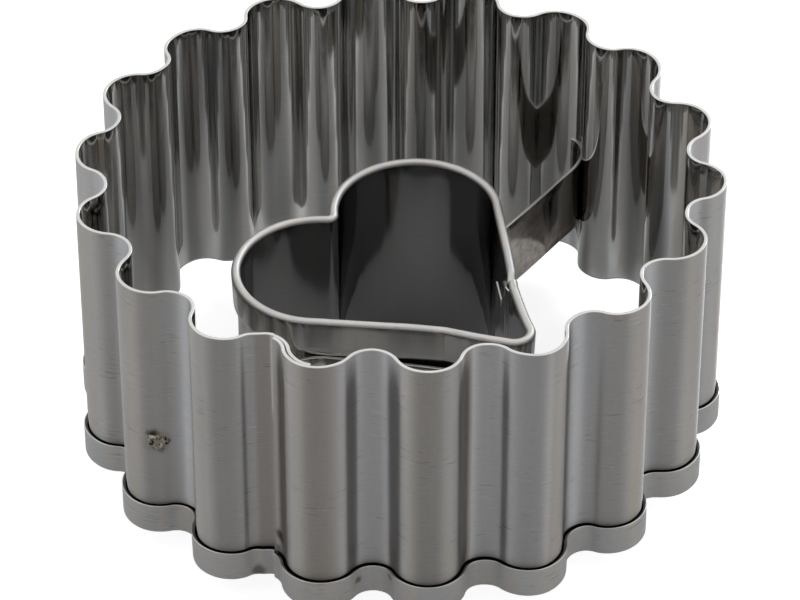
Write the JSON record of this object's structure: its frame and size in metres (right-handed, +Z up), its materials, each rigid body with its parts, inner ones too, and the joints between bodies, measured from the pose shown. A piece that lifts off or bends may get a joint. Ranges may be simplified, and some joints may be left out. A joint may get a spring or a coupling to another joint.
{
  "type": "linzer cookie cutter",
  "caption": "Fluted round cookie cutter of thin stainless strip with a small heart cutter held inside it by two welded strip arms, for linzer biscuits.",
  "frame": {"origin": "on the surface that the cutter stands on, below the middle of the fluted ring: the heart's cutting edge is level with it", "axes": "+Z up along the ring's axis, from the heart's cutting edge to the ring's raw rim; +X to the right across the heart; the heart's notch faces +Y and its point -Y"},
  "size_m": [0.05, 0.0506, 0.0252],
  "materials": {
    "stainless_ring": "mill-finished stainless strip, satin outside, brighter inside",
    "stainless_heart": "mill-finished stainless strip, bright inside",
    "stainless_arm": "mill-finished stainless strip"
  },
  "bodies": {
    "root": {"outer_ring": "stainless_ring", "heart_cutter": "stainless_heart", "arm_right": "stainless_arm", "arm_left": "stainless_arm"}
  },
  "joints": []
}
